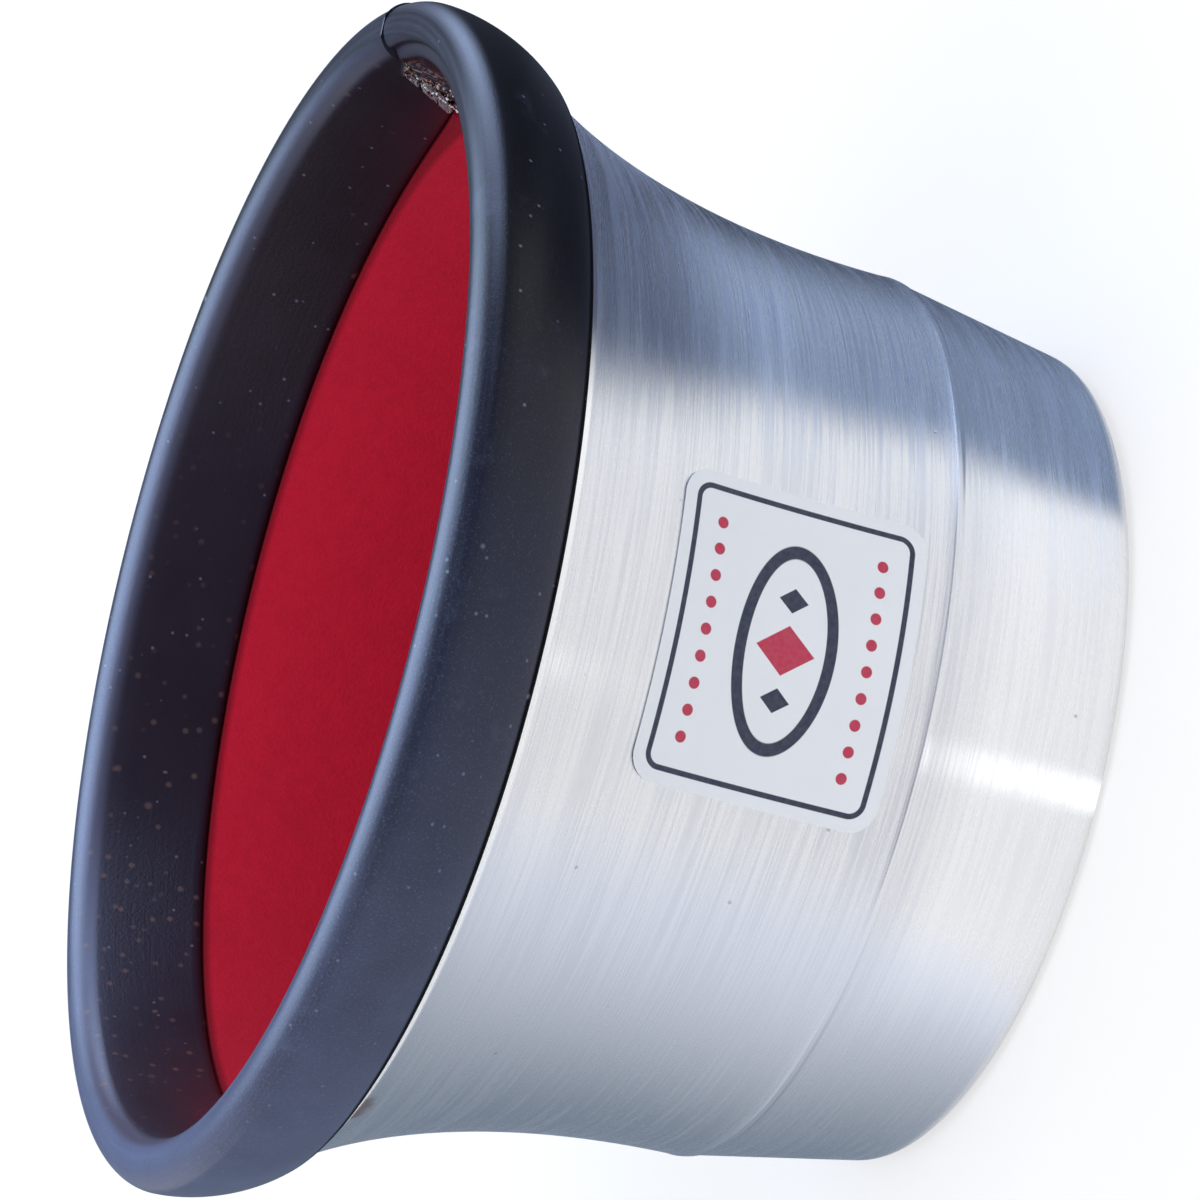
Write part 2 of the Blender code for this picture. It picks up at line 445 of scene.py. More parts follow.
def aluminiumPaint(values):
    paint = Paint("spun_aluminium", {"Anisotropic": 0.75, "Anisotropic Rotation": 0.25})
    fine = paint.noise(paint.turning(*values["fineLines"]), 1.0)
    lines = paint.noise(paint.turning(*values["lines"]), 1.0, 3.0, 0.6)
    bands = paint.noise(paint.turning(*values["bands"]), 1.0, 3.0, 0.6)
    place = paint.place()
    smudge = paint.noise(place, 60.0, 3.0)
    streak = paint.rise(fine * 0.35 + lines * 0.40 + bands * 0.25, 0.40, 0.62)
    x, y, z = (paint.axis(place, name) for name in "XYZ")
    color = paint.tint(streak * 0.6 + smudge * 0.2, values["metal"], values["metalWorn"])
    # painted light: the lower front of the cup made paler where the light falls
    litFoot = (1 - paint.rise(z, *values["litFootTop"])) * paint.rise(0 - y, *values["litFootFront"])
    litFoot = litFoot * paint.rise(x, *values["litFootSide"])
    color = paint.tint(litFoot * 0.85, color, values["metalLitFoot"])
    # real turning lines, painted darker blue-grey on the joint's side as shade from the dark reflections
    # there
    shadedStreak = paint.rise(fine * 0.65 + lines * 0.35, 0.47, 0.57) * paint.rise(x, *values["shadedStreakFrom"])
    color = paint.tint(shadedStreak * 0.50, color, values["metalShadedStreak"])
    pitCells = paint.axis(paint.cells(place, 520.0, "Color"), "X")
    pit = paint.rise(pitCells, *values["pitShare"])
    pit = pit * (1 - paint.rise(paint.cells(place, 520.0), *values["pitSize"]))
    color = paint.tint(pit * 0.55, color, values["pit"])
    smearEdge = paint.noise(place, 380.0, 3.0, 0.6) * 0.004
    reach = paint.vector("DISTANCE", place, values["smearPlace"], "Value") + smearEdge
    smear = (1 - paint.rise(reach, *values["smearReach"])) * paint.rise(z + smearEdge, *values["smearTop"])
    color = paint.tint(smear * 0.7, color, values["smear"])
    # painted highlight: a near-white line on the metal just under the rubber
    highlightRing = paint.rise(z, *values["paintedHighlightFrom"])
    whiteHighlight = highlightRing * paint.rise(0 - x, *values["whiteHighlightSide"])
    color = paint.tint(highlightRing, color, values["metalPaintedHighlight"])
    rough = paint.spread(streak * 0.75 + smudge * 0.25, *values["roughness"]) * (1 - highlightRing * 0.6)
    normal = paint.bump(fine * 0.4 + lines * 0.6, 0.000020)
    normal = paint.bump(1 - pit, 0.00003, normal)
    metallic = 1 - whiteHighlight * 0.8
    return paint.feed({"Base Color": color, "Roughness": rough, "Metallic": metallic, "Normal": normal})


def makeCup(values):
    outside = cupOutside(values)
    inside = shifted(outside, values["wall"])
    inside = [point for point in inside if point.y > values["wall"] + 1e-5]
    floor = [Vector((0, values["wall"])), Vector((values["flatRadius"], values["wall"]))]
    inside[0].y = cupHigh.z
    profile = outside[::-1] + inside + floor[::-1]
    made = turned("spun_cup", profile, values["columns"], aluminiumPaint(values))
    placed(made, "spun_aluminium", "cup")


outside = cupOutside(cup)
makeCup(cup)
print("cup made")


# Rubber edging

edging = {
    "beadRadius": 0.0030,
    "beadOverlap": 0.0005,
    "skirtDepth": 0.0108,
    "skirtThickness": 0.0021,
    "skirtRounding": 0.0018,
    "skirtLean": 40,
    "skirtPull": 0.0034,
    "legDepth": 0.0114,
    "legThickness": 0.0010,
    "legRounding": 0.0009,
    "seat": 0.0003,
    "jointAzimuth": 5.5,
    "jointGap": 0.0005,
    "legSlant": 6.0,
    "legBend": 4.2,
    "bendDepth": 0.2,
    "legOpening": 0.0030,
    "columns": 620,
    "crowding": 0.86,  # how much closer the columns lie at the joint
    "beadSteps": 56,
    "faceSteps": 18,
    "skirtToeSteps": 12,
    "legToeSteps": 10,
    "lip": 0.00022,  # raised edge of the strip's first end
    "lipFade": 0.0004,
    "beadBelow": 0.002,  # from here up, and out to the last bearing, the ends of the bead are pressed
    "beadLast": 215,
    "ridge": 0.00028,
    "ridgeBearing": 178,  # round the bead, from its outer side over the top
    "ridgeWidth": 9,
    "groove": 0.00050,
    "grooveBearing": 152,
    "grooveWidth": 10,
    "fadeFrom": 12,  # degrees round the axis
    "fadeOver": 24,
    "twist": 1.6,  # degrees round the bead for each degree round the axis
    "twistTo": 30,
    # the bead's crest, where a painted highlight is laid on as drawn-line dust
    "crestTop": (0.0784, 0.0800),
    "crestInner": (0.0596, 0.0610),
    "legFade": 8,  # the cut and torn marks fade in over an eighth of the inner leg
    "tornReach": 0.009,  # how far from the strip's end the inner leg is torn
    "rimReach": 0.0004,  # how far from its other end a pale highlight is painted along the cut edge
    "innerHighlightTop": (0.0788, 0.0803),  # painted highlight, as pale dust, on the bead's inner side towards the back
    "innerHighlightTo": (0.0598, 0.0612),
    "innerHighlightBack": (-0.010, 0.030),
    "outerFrom": (0.0585, 0.0597),  # where the skirt and bead begin and the inner leg ends
    "legTo": (0.0597, 0.0608),
    "half": 0.065,  # half the edging's width, across which the dust and the painted light grow towards -x
    # the side towards which the crest is painted paler as light
    "litSide": (0.045, 0.062),
    "drawnLines": (3, 2400),
    # the skirt's toe, painted in shade
    "toeShadeTop": (0.0686, 0.0691),
    "toeShadeFrom": (0.0597, 0.0599),
    "wobble": 0.00008,
    "wobbleFrom": 190,
    "wobbleFade": 0.0015,
    "legPull": 0.0001,
    "legPullFade": 8,
    "legRise": 0.0019,
    "legRiseFade": 10,
    "black": rgb(0.0036, 0.0033, 0.0055),
    "blackMottled": rgb(0.0042, 0.0050, 0.0150),
    # pale blue colour, laid on as dust and as painted light on the -x side
    "dustAndLight": rgb(0.099, 0.121, 0.224),
    "powder": rgb(0.17, 0.20, 0.32),
    "legTone": rgb(0.028, 0.020, 0.034),
    "legFeltReflection": rgb(0.050, 0.030, 0.038),
    "toeShadeTone": rgb(0.0015, 0.0015, 0.0020),
    "cutEdgeHighlight": rgb(0.36, 0.44, 0.50),
    "flecks": (rgb(0.004, 0.004, 0.006), rgb(0.20, 0.17, 0.17), rgb(0.50, 0.13, 0.08)),
    "cutTones": (rgb(0.012, 0.011, 0.014), rgb(0.80, 0.92, 1.00)),
    "lint": (  # scale of the cells, share of them left bare, size, place and colour
        (900.0, 0.900, 0.24, "all", rgb(0.15, 0.19, 0.28)),
        (300.0, 0.965, 0.14, "outer", rgb(0.22, 0.25, 0.32)),
        (620.0, 0.570, 0.31, "far leg", rgb(0.155, 0.105, 0.098)),
        (330.0, 0.900, 0.22, "leg", rgb(0.13, 0.085, 0.085)),
    ),
}


def edgingSection(values):  # the channel's section, and how far down the inner leg each point lies
    crown = Vector((cupHigh.x - cup["wall"] / 2, cupHigh.z - values["beadOverlap"]))
    slotTop = cupHigh.z + values["seat"]
    skirtEnd = crown.y - values["skirtDepth"]
    lip = outside[0]
    raised = [lip + (lip - outside[1]) / 4, *outside[1:]]
    outer = shifted(raised, -values["seat"])
    inner = shifted(raised, cup["wall"] + values["seat"])
    slotOut = heightCut(outer, skirtEnd, slotTop)
    steps = values["faceSteps"]
    heights = [slotTop, *[crown.y - values["legDepth"] * step / steps for step in range(steps + 1)]]
    slotIn = [Vector((radiusAt(inner, height), height)) for height in heights]
    skirtRound = values["skirtRounding"]
    legRound = values["legRounding"]
    lean = values["skirtLean"]
    skirtCenter = slotOut[-1] + Vector((values["skirtThickness"] - skirtRound, skirtRound))
    skirtToe = arcPoints(skirtCenter, skirtRound, -lean, -90, values["skirtToeSteps"])
    legCenter = slotIn[-1] + Vector((legRound - values["legThickness"], legRound))
    legToe = arcPoints(legCenter, legRound, -90, -180, values["legToeSteps"])
    reach = legToe[-1] - crown
    beadStart = math.atan2(reach.y, reach.x) % (2 * math.pi) - math.acos(values["beadRadius"] / reach.length)
    bead = arcPoints(crown, values["beadRadius"], math.degrees(beadStart), 0, values["beadSteps"])
    upperHandle = bead[-1] - Vector((0, values["skirtPull"]))
    lean = math.radians(lean)
    lowerHandle = skirtToe[0] + values["skirtPull"] * Vector((math.sin(lean), math.cos(lean)))
    fall = interpolate_bezier(bead[-1], upperHandle, lowerHandle, skirtToe[0], steps + 1)
    skirt = [Vector(point[:2]) for point in fall[1:-1]]
    legFace = [legToe[-1].lerp(bead[0], step / steps) for step in range(1, steps)]
    section = slotIn + legToe + legFace + bead + skirt + skirtToe + slotOut[::-1]
    legCount = len(slotIn) + len(legToe) + len(legFace)
    depths = []
    for index, point in enumerate(section):
        depths.append(clamped((crown.y - point.y) / values["legDepth"]) if index < legCount else 0)
    face = (legToe + legFace + bead[:values["beadSteps"] // 2])[::-1]
    return section, depths, crown, face


def rubberPaint(values):
    paint = Paint("black_rubber", {"Specular IOR Level": 0.25})
    place = paint.place()
    x, y, height = (paint.axis(place, name) for name in "XYZ")
    radius = paint.length(paint.outward())
    outer = paint.rise(radius, *values["outerFrom"])
    leg = 1 - paint.rise(radius, *values["legTo"])
    grain = paint.noise(place, 2600.0)
    powder = paint.noise(place, 4600.0, 2.0, 0.7)
    drawn = paint.noise(paint.turning(*values["drawnLines"]), 1.0)
    cloud = paint.noise(place, 90.0, 3.0)
    soft = paint.noise(place, 240.0)
    # painted light: the dust grows towards -x, where the light falls; the random patches added on top are
    # real dust
    away = paint.most((values["half"] - x) / (2 * values["half"]), 0.0)
    dustAndLitSide = paint.math("POWER", away, 2.6) * 0.82 * outer
    dustAndLitSide = dustAndLitSide * paint.spread(cloud * 0.4 + soft * 0.2 + powder * 0.4, 0.30, 1.70)
    # painted highlight along the crest: less side light there, but drawn-line dust and a paler -x side
    crest = paint.rise(height, *values["crestTop"]) * paint.rise(radius, *values["crestInner"])
    dustAndLitSide = dustAndLitSide * (1 - crest * 0.36)
    dustAndLitSide = dustAndLitSide + paint.rise(drawn * 0.6 + powder * 0.4, 0.40, 0.64) * crest * 0.10
    # painted highlight: the bead's inner side paler towards the back
    inner = paint.rise(height, *values["innerHighlightTop"]) * (1 - paint.rise(radius, *values["innerHighlightTo"]))
    dustAndLitSide = dustAndLitSide + inner * paint.rise(y, *values["innerHighlightBack"]) * paint.spread(soft, 0.35, 0.65)
    dustAndLitSide = dustAndLitSide + crest * paint.rise(0 - x, *values["litSide"]) * 0.12
    dustAndLitSide = dustAndLitSide + paint.rise(paint.noise(place, 150.0, 4.0, 0.6), 0.58, 0.74) * outer * 0.13
    # mottled at random, and bluer towards -x as painted light; the powder specks are likewise denser towards
    # -x
    mottledAndLit = paint.rise(cloud * 0.5 + paint.rise(away, 0.15, 0.45) * 0.5, 0.30, 0.80)
    color = paint.tint(mottledAndLit, values["black"], values["blackMottled"])
    color = paint.tint(dustAndLitSide, color, values["dustAndLight"])
    color = paint.tint(paint.rise(powder, 0.56, 0.74) * away * outer * 0.35, color, values["powder"])
    rubbed = paint.spread(cloud * 0.6 + soft * 0.4, 0.25, 0.75)
    color = paint.tint(leg * rubbed, color, values["legTone"])
    # painted reflection: the inner leg reddened towards -x as if by the red felt
    color = paint.tint(leg * paint.rise(away, 0.86, 1.00) * 0.7, color, values["legFeltReflection"])
    beside = paint.rise(paint.attribute("torn"), 0.10, 0.60)
    dark, pale, orange = values["flecks"]
    fleckColor = paint.tint(paint.rise(paint.noise(place, 1300.0, 3.0, 0.6), 0.54, 0.60), dark, pale)
    fleckColor = paint.tint(paint.rise(paint.noise(place, 1900.0), 0.62, 0.66), fleckColor, orange)
    color = paint.tint(beside, color, fleckColor)
    # painted highlight: a pale line along the bead's cut edge at the strip's first end
    color = paint.tint(paint.attribute("rim") * 0.7, color, values["cutEdgeHighlight"])
    # painted shade: the skirt's toe made near-black and unreflecting where it turns under
    toeShade = (1 - paint.rise(height, *values["toeShadeTop"])) * paint.rise(radius, *values["toeShadeFrom"])
    color = paint.tint(toeShade, color, values["toeShadeTone"])
    lintPlace = {"all": 1.0, "outer": outer, "leg": leg, "far leg": leg * paint.rise(away, 0.20, 0.90)}
    for scale, share, size, where, lint in values["lint"]:
        chosen = paint.rise(paint.axis(paint.cells(place, scale, "Color"), "X"), share, share + 0.004)
        speck = chosen * lintPlace[where] * (1 - paint.rise(paint.cells(place, scale), size * 0.3, size))
        color = paint.tint(speck * 0.55, color, lint)
    rough = paint.spread(cloud * 0.4 + grain * 0.3 + drawn * 0.3, 0.23, 0.36) + toeShade * 0.5 + beside * 0.35
    cut = paint.attribute("cut")
    torn = paint.noise(place, 1500.0, 2.0, 0.6)
    color = paint.tint(cut, color, paint.tint(paint.rise(torn, 0.36, 0.46), *values["cutTones"]))
    normal = paint.bump(grain * 0.45 + drawn * 0.25 + powder * 0.30, 0.00004)
    normal = paint.bump(torn * cut, 0.0004, normal)
    return paint.feed({"Base Color": color, "Roughness": rough, "Metallic": toeShade, "Normal": normal})


def swell(value, middle, width):  # 1 at the middle, falling off to nothing
    return math.exp(-((value - middle) / width) ** 2)


def endShape(point, depth, crown, fromStart, fromEnd, angle, values):  # how the strip's two ends are pressed
    reach = point - crown
    bearing = math.degrees(math.atan2(reach.y, reach.x)) % 360
    push = 0
    if reach.y > -values["beadBelow"] and bearing < values["beadLast"]:
        away = math.degrees(fromEnd / point.x)
        fade = 1 - eased((away - values["fadeFrom"]) / values["fadeOver"])
        twisted = bearing + values["twist"] * min(away, values["twistTo"])
        push += values["lip"] * math.exp(-fromStart / values["lipFade"])
        push += values["ridge"] * swell(twisted, values["ridgeBearing"], values["ridgeWidth"]) * fade
        push -= values["groove"] * swell(twisted, values["grooveBearing"], values["grooveWidth"]) * fade
        if bearing > values["wobbleFrom"]:
            place = roundAxis(point.x, angle, point.y)
            fading = math.exp(-min(fromStart, fromEnd) / values["wobbleFade"])
            push += values["wobble"] * noise.noise(place * 900) * fading
    moved = point + reach.normalized() * push
    opened = math.degrees(fromStart / point.x)
    moved.x -= values["legPull"] * depth * math.exp(-opened / values["legPullFade"])
    moved.y += values["legRise"] * depth * math.exp(-opened / values["legRiseFade"])
    moved.y = min(moved.y, cadHigh.z)
    return moved


def jointTurn(depth, values):  # how far round the joint lies at a depth of the inner leg
    bend = values["legBend"] * eased(depth / values["bendDepth"])
    return math.radians(values["jointAzimuth"] + bend + values["legSlant"] * depth)


def makeEdging(values):
    section, depths, crown = strip[:3]
    columns = values["columns"]
    lengths = alongProfile(section)
    rings, torn, rim = [], [], []
    for column in range(columns + 1):
        step = column / columns
        share = step - values["crowding"] * math.sin(2 * math.pi * step) / (2 * math.pi)
        ring = []
        for point, depth in zip(section, depths):
            first = jointTurn(depth, values) + values["jointGap"] / 2 / point.x
            last = 2 * math.pi + first - (values["jointGap"] + values["legOpening"] * depth) / point.x
            angle = first + (last - first) * share
            fromStart = (angle - first) * point.x
            fromEnd = (last - angle) * point.x
            bent = endShape(point, depth, crown, fromStart, fromEnd, angle, values)
            torn.append(max(1 - fromEnd / values["tornReach"], 0) * min(depth * values["legFade"], 1))
            rim.append(max(1 - fromStart / values["rimReach"], 0) if point.y > crown.y else 0)
            ring.append(roundAxis(bent.x, angle, bent.y))
        rings.append(ring)
    count = len(section)
    verts = [vert for ring in rings for vert in ring] + rings[0] + rings[-1]
    along = lengths * (columns + 3)
    cut = [0.0] * len(torn) + [min(depth * values["legFade"], 1) for depth in depths] * 2
    torn += [0.0] * (2 * count)
    rim += [0.0] * (2 * count)
    faces = ringFaces(columns, count)
    flat = [Vector((point.x, point.y, 0)) for point in section]
    start = count * (columns + 1)
    for triangle in tessellate_polygon([flat]):
        faces.append(tuple(start + corner for corner in triangle))
        faces.append(tuple(start + count + corner for corner in reversed(triangle)))
    marks = {"along": along, "cut": cut, "torn": torn, "rim": rim}
    made = meshObject("rubber_edging", verts, faces, rubberPaint(values), marks=marks)
    placed(made, "black_rubber", "rim_edging")


strip = edgingSection(edging)
makeEdging(edging)
print("edging made")


# Cement in the joint of the edging, with torn crumbs

cement = {
    "rows": 40,
    "across": 10,
    "start": 0.10,
    "end": 0.93,
    "lift": 0.35,  # from the back of the wedge to its face
    "crown": 0.35,
    "lump": 0.00022,
    "teeth": 36,  # torn points along the strip's first end
    "toothSize": (0.00009, 0.00018),
    "toothTones": (0.1, 0.85, 0.95),
    "crumbs": 170,
    "crumbSize": (0.00005, 0.00016),
    "crumbTones": (0.05, 0.12, 0.12, 0.12, 0.35, 0.50, 0.50, 0.70, 0.90, 0.95),
    "crumbRings": 4,
    "crumbSpokes": 7,
    "dark": (rgb(0.020, 0.012, 0.012), rgb(0.10, 0.050, 0.034)),
    "brown": rgb(0.42, 0.24, 0.15),
    "orange": rgb(0.50, 0.15, 0.085),
    "pale": rgb(0.62, 0.72, 0.78),
}


def cementPaint(values):
    paint = Paint("brown_cement", {"Specular IOR Level": 0.35})
    lumps = paint.noise(paint.place(), 1500.0, 3.0, 0.6)
    shade = paint.attribute("shade")
    color = paint.tint(paint.rise(lumps, 0.40, 0.60), *values["dark"])
    for tone, low, high in (("brown", 0.30, 0.40), ("orange", 0.62, 0.66), ("pale", 0.78, 0.82)):
        color = paint.tint(paint.rise(shade, low, high), color, values[tone])
    rough = paint.spread(lumps, 0.35, 0.65)
    return paint.feed({"Base Color": color, "Roughness": rough, "Normal": paint.bump(lumps, 0.0002)})


def jointPlace(depth, share, lift):  # a place in the wedge: share 0 at the strip's last end, 1 at its first
    crown, face = strip[2:]
    height = crown.y - edging["legDepth"] * depth
    back = radiusAt(slotBack, height)
    radius = back + (radiusAt(face, height) - back) * lift
    first = jointTurn(depth, edging)
    wide = (edging["jointGap"] + edging["legOpening"] * depth) / radius
    return roundAxis(radius, first - wide * (1 - share), height)


def crumbMesh(spot, size, random, values):
    turn = Matrix.Rotation(random.uniform(0, 6.28), 3, Vector(random.normal(size=3)))
    rings, spokes = values["crumbRings"], values["crumbSpokes"]
    verts = []
    for ring in range(rings + 1):
        lean = math.pi * ring / rings
        for spoke in range(spokes):
            around = 2 * math.pi * spoke / spokes
            wide = math.sin(lean)
            way = Vector((wide * math.cos(around), 0.6 * wide * math.sin(around), 1.5 * math.cos(lean)))
            verts.append(spot + turn @ way * size * random.uniform(0.75, 1.2))
    return verts, flipped(ringFaces(rings, spokes))


def makeCement(values):
    verts, shade = [], []
    rows, across = values["rows"], values["across"]
    for row in range(rows + 1):
        depth = values["start"] + (values["end"] - values["start"]) * row / rows
        for column in range(across + 1):
            share = column / across
            crown = math.sin(math.pi * share) * values["crown"]
            spot = jointPlace(depth, share, values["lift"] + crown)
            lump = noise.noise(spot * 1300) * values["lump"]
            verts.append(spot - Vector((spot.x, spot.y, 0)).normalized() * lump)
            shade.append(0.15 + 0.35 * noise.noise(spot * 900))
    faces = gridFaces(rows, across)
    random = np.random.default_rng(4)
    for crumb in range(values["crumbs"] + values["teeth"]):
        depth = random.uniform(0.10, 0.88)
        share = random.uniform(-1.0, 1.0)
        lift = random.uniform(0.6, 1.05) if share > 0 else random.uniform(1.0, 1.06)
        size = random.uniform(*values["crumbSize"])
        tone = random.choice(values["crumbTones"])
        if crumb < values["teeth"]:
            depth = 0.02 + 0.90 * (crumb + random.uniform(0, 0.6)) / values["teeth"]
            share = random.uniform(0.92, 1.04)
            lift = random.uniform(0.94, 1.04)
            tone = random.choice(values["toothTones"])
            size = random.uniform(*values["toothSize"])
        points, sides = crumbMesh(jointPlace(depth, share, lift), size, random, values)
        faces += [tuple(len(verts) + corner for corner in side) for side in sides]
        verts += points
        shade += [tone] * len(points)
    made = meshObject("joint_cement", verts, faces, cementPaint(values), marks={"shade": shade})
    placed(made, "brown_cement", "joint_adhesive")


slotBack = shifted(outside, cup["wall"] + edging["seat"])
makeCement(cement)
print("joint cement made")


# Felt lining

felt = {
    "columns": 360,
    "thickness": 0.0008,
    "seat": 0.0003,
    "ripple": 0.00006,
    "rise": 0.004,  # how far down from the rubber the felt lifts with it
    "discColumns": 240,
    "discSteps": 40,
    "red": rgb(0.450, 0.0115, 0.0345),
    "redDeep": rgb(0.390, 0.0100, 0.0300),
    "redShaded": rgb(0.120, 0.0050, 0.0120),
    "shadedFrom": (-0.0006, 0.0002),  # from the felt's top edge
    "sheen": rgb(1.0, 0.25, 0.30),
    "tuck": 0.00025,  # how far it reaches up towards the rubber
    "overlap": 0.0002,  # how far it reaches down to the disc
    "discReach": 0.0010,  # under the wall felt
}


def feltPaint(values):
    constants = {"Roughness": 0.95, "Specular IOR Level": 0.02, "Sheen Weight": 0.06, "Sheen Roughness": 0.6}
    paint = Paint("red_felt", {**constants, "Sheen Tint": values["sheen"]})
    place = paint.place()
    fibres = paint.noise(place, 2600.0, 3.0, 0.65)
    tufts = paint.noise(place, 620.0, 3.0, 0.6)
    cloud = paint.noise(place, 70.0)
    shade = paint.rise(fibres * 0.35 + tufts * 0.35 + cloud * 0.30, 0.34, 0.62)
    color = paint.tint(shade, values["redDeep"], values["red"])
    low, high = values["shadedFrom"]
    nearRubber = paint.rise(paint.axis(place, "Z"), liningHigh.z + low, liningHigh.z + high)
    color = paint.tint(nearRubber * 0.7, color, values["redShaded"])
    normal = paint.bump(fibres * 0.6 + tufts * 0.4, 0.00018)
    return paint.feed({"Base Color": color, "Normal": normal})


def makeLining(values, paint):
    seat = cup["wall"] + values["seat"]
    low, high = liningLow.z - values["overlap"], liningHigh.z + values["tuck"]
    back = heightCut(shifted(outside, seat), low, high)
    face = heightCut(shifted(outside, seat + values["thickness"]), low, high)
    area = sum(2 * math.pi * point.x for point in face) / len(face) * alongProfile(face)[-1]

    def ripple(point, angle):
        opened = math.degrees(angle - jointTurn(1, edging)) % 360
        near = clamped((point.y - high + values["rise"]) / values["rise"])
        top = point.y + near * edging["legRise"] * math.exp(-opened / edging["legRiseFade"])
        inner = abs(point.x - radiusAt(outside, point.y)) > seat + values["thickness"] / 2
        if not inner:
            return point.x, top
        place = roundAxis(point.x, angle, point.y)
        uneven = noise.noise(place * 130) + 0.4 * noise.noise(place * 600)
        return point.x + values["ripple"] * uneven, top

    made = turned("felt_wall", back[::-1] + face, values["columns"], paint, closed=True, ripple=ripple)
    placed(made, "red_felt", "wall_lining")


def makeDisc(values, paint):
    radius = discHigh.x + values["discReach"]
    steps = values["discSteps"]
    top = [Vector((radius * step / steps, discHigh.z)) for step in range(steps + 1)]
    under = [Vector((radius * step / steps, discLow.z)) for step in range(steps, -1, -1)]

    def ripple(point, angle):
        if point.y < discHigh.z - 1e-5:
            return point.x, point.y
        place = roundAxis(point.x, angle, point.y)
        return point.x, point.y - values["ripple"] * (1 + noise.noise(place * 130))

    made = turned("felt_disc", top + under, values["discColumns"], paint, ripple=ripple)
    placed(made, "red_felt", "base_lining")


redFelt = feltPaint(felt)
makeLining(felt, redFelt)
makeDisc(felt, redFelt)
print("felt lining made")


# Label: plain film with a printed border, a ring, lozenges and dots

film = {
    "azimuth": -82,
    "height": 0.0399,
    "length": 0.0285,
    "width": 0.0330,
    "corner": 0.0030,
    "rows": 72,
    "columns": 84,
    "seat": 0.00003,
    "thickness": 0.00014,
    "lift": 0.00016,  # how far the corners stand off
    "inset": 0.0014,
    "lineCorner": 0.0018,
    "line": 0.0003,  # half the border line's width
    "dots": 9,
    "dotPitch": 0.0028,
    "dotRow": 0.0094,
    "dotRadius": 0.00062,
    "ovalOut": (0.0110, 0.0058),
    "ovalIn": (0.0096, 0.0045),
    "sideLozenge": (0.0052, 0.0013, 0.0017),  # from the middle, then half its width and height
    "middleLozenge": (0.0, 0.0026, 0.0034),
    "silver": rgb(0.73, 0.745, 0.79),
    "silverDull": rgb(0.60, 0.62, 0.66),
    "navy": rgb(0.014, 0.020, 0.050),
    "crimson": rgb(0.44, 0.018, 0.060),
}


def filmPaint(values):
    paint = Paint("printed_film", {"Specular IOR Level": 0.20})
    across, upward = paint.attribute("across"), paint.attribute("upward")
    grain = paint.noise(paint.place(), 1800.0)
    smudge = paint.noise(paint.place(), 110.0, 3.0)
    wide, high = paint.math("ABSOLUTE", across), paint.math("ABSOLUTE", upward)

    def inside(distance):  # 1 where a distance from an outline is below nothing
        return 1 - paint.rise(distance, -0.00005, 0.00005)

    def lozenge(center, halfWidth, halfHeight):
        offset = paint.math("ABSOLUTE", wide - center)
        return inside((offset / halfWidth + high / halfHeight - 1) * min(halfWidth, halfHeight))

    def oval(halfWidth, halfHeight):
        place = paint.joined(across / halfWidth, upward / halfHeight, 0.0)
        return inside((paint.length(place) - 1) * halfHeight)

    inset, corner, line = values["inset"], values["lineCorner"], values["line"]
    cornerX = paint.most(wide - (values["width"] / 2 - inset - corner), 0.0)
    cornerY = paint.most(high - (values["length"] / 2 - inset - corner), 0.0)
    edge = paint.length(paint.joined(cornerX, cornerY, 0.0)) - corner
    frameLine = inside(paint.math("ABSOLUTE", edge + line) - line)
    pitch = values["dotPitch"]
    dotX = paint.math("SUBTRACT", paint.math("FRACT", wide / pitch + 0.5), 0.5) * pitch
    dotReach = paint.length(paint.joined(dotX, high - values["dotRow"], 0.0))
    dots = inside(dotReach - values["dotRadius"]) * inside(wide - values["dots"] / 2 * pitch)
    navy = paint.most(oval(*values["ovalOut"]) - oval(*values["ovalIn"]), frameLine)
    navy = paint.most(navy, lozenge(*values["sideLozenge"]))
    crimson = paint.most(lozenge(*values["middleLozenge"]), dots)
    worn = paint.spread(grain, 0.92, 1.0)
    color = paint.tint(smudge * 0.25, values["silver"], values["silverDull"])
    color = paint.tint(navy * worn, color, values["navy"])
    color = paint.tint(crimson * worn, color, values["crimson"])
    rough = paint.spread(grain * 0.5 + smudge * 0.5, 0.30, 0.48)
    normal = paint.bump(paint.most(navy, crimson) * 0.5 + grain * 0.3, 0.00001)
    return paint.feed({"Base Color": color, "Roughness": rough, "Normal": normal})


